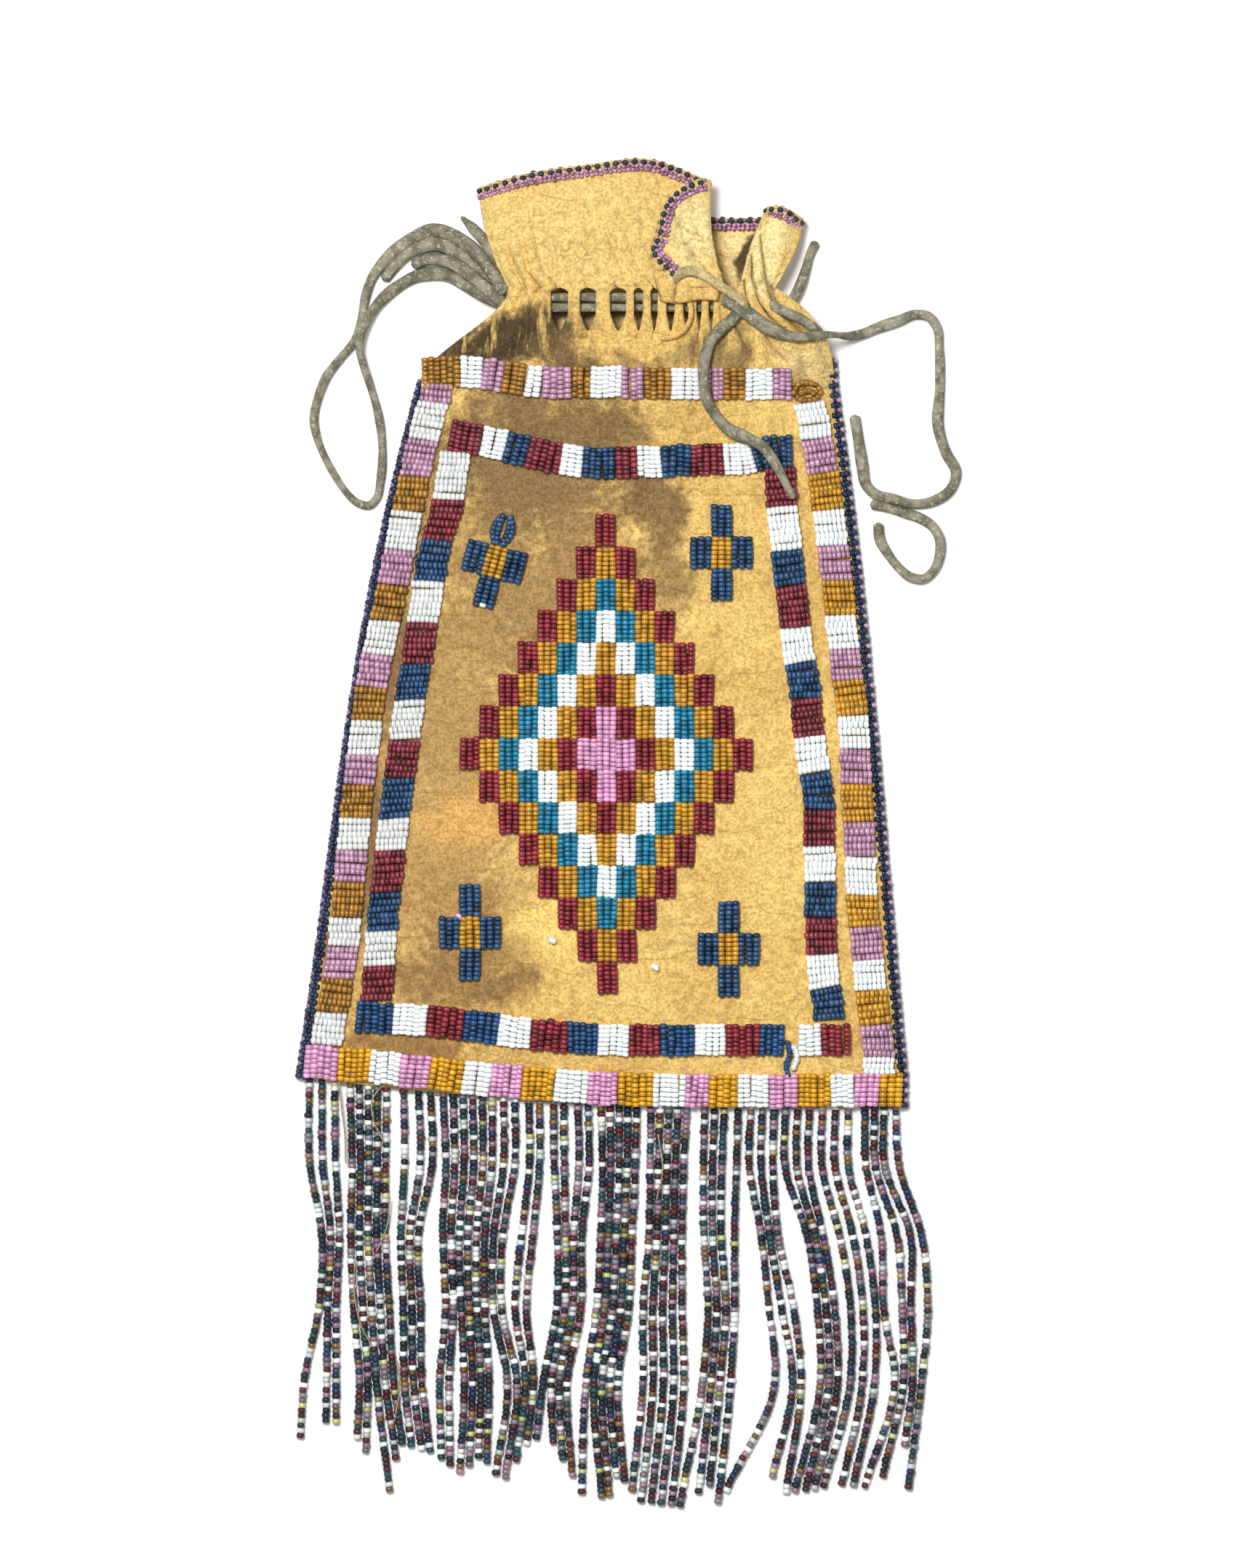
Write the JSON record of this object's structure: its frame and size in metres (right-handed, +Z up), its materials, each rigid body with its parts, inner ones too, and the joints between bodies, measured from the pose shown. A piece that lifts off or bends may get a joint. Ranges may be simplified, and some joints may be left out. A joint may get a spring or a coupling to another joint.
{
  "type": "beaded medicine bag",
  "caption": "Flat hide drawstring bag with geometric seed-bead lanes, a stepped diamond and crosses, a gathered neck, a flared collar and a beaded fringe.",
  "frame": {"origin": "middle of the bag's body, on the flat underside of the back panel", "axes": "+X to the right of the beaded front, +Y from the fringe to the mouth, +Z up from the table through the back panel to the beaded front"},
  "size_m": [0.2019, 0.4094, 0.0187],
  "materials": {
    "front_hide": "smoke-tanned suede, golden ochre, stained darker near the neck",
    "back_hide": "smoke-tanned suede, ochre",
    "side_edging_beads": "opaque glass beads, navy and pink",
    "rim_edging_beads": "opaque glass beads, dark green and pink",
    "outer_lane_beads": "opaque glass beads in blocks of white, pink and gold",
    "inner_lane_beads": "opaque glass beads in blocks of maroon, white and blue",
    "diamond_beads": "opaque glass beads in stepped bands of maroon, gold, blue, white and pink",
    "cross_beads": "opaque glass beads, blue with a gold middle",
    "fringe_beads": "glass beads of mixed colours on thread",
    "thong_leather": "worn grey-olive leather lace"
  },
  "bodies": {
    "root": {"front_panel": "front_hide", "back_panel": "back_hide", "outer_lane_top": "outer_lane_beads", "outer_lane_left": "outer_lane_beads", "outer_lane_right": "outer_lane_beads", "outer_lane_bottom": "outer_lane_beads", "inner_lane_top": "inner_lane_beads", "inner_lane_left": "inner_lane_beads", "inner_lane_right": "inner_lane_beads", "inner_lane_bottom": "inner_lane_beads", "inner_lane_bottom_end": "inner_lane_beads", "diamond_medallion": "diamond_beads", "cross_upper_left": "cross_beads", "cross_upper_right": "cross_beads", "cross_lower_left": "cross_beads", "cross_lower_right": "cross_beads", "side_edging_left": "side_edging_beads", "side_edging_right": "side_edging_beads", "rim_edging_front": "rim_edging_beads", "rim_edging_flap": "rim_edging_beads", "rim_edging_lobe": "rim_edging_beads", "rim_edging_back": "rim_edging_beads", "neck_thong_upper": "thong_leather", "neck_thong_lower": "thong_leather", "neck_thong_back": "thong_leather", "thong_left_loop": "thong_leather", "thong_left_end": "thong_leather", "thong_left_upper": "thong_leather", "thong_left_lower": "thong_leather", "thong_right_main": "thong_leather", "thong_right_loop": "thong_leather", "thong_front_end": "thong_leather", "thong_back_end": "thong_leather", "fringe_pair_01": "fringe_beads", "fringe_pair_02": "fringe_beads", "fringe_pair_03": "fringe_beads", "fringe_pair_04": "fringe_beads", "fringe_pair_05": "fringe_beads", "fringe_pair_06": "fringe_beads", "fringe_pair_07": "fringe_beads", "fringe_pair_08": "fringe_beads", "fringe_pair_09": "fringe_beads", "fringe_pair_10": "fringe_beads", "fringe_pair_11": "fringe_beads", "fringe_pair_12": "fringe_beads", "fringe_pair_13": "fringe_beads", "fringe_pair_14": "fringe_beads", "fringe_pair_15": "fringe_beads", "fringe_pair_16": "fringe_beads", "fringe_pair_17": "fringe_beads", "fringe_pair_18": "fringe_beads", "fringe_pair_19": "fringe_beads", "fringe_pair_20": "fringe_beads", "fringe_pair_21": "fringe_beads", "fringe_pair_22": "fringe_beads", "fringe_pair_23": "fringe_beads", "fringe_pair_24": "fringe_beads", "fringe_pair_25": "fringe_beads", "fringe_pair_26": "fringe_beads"}
  },
  "joints": []
}
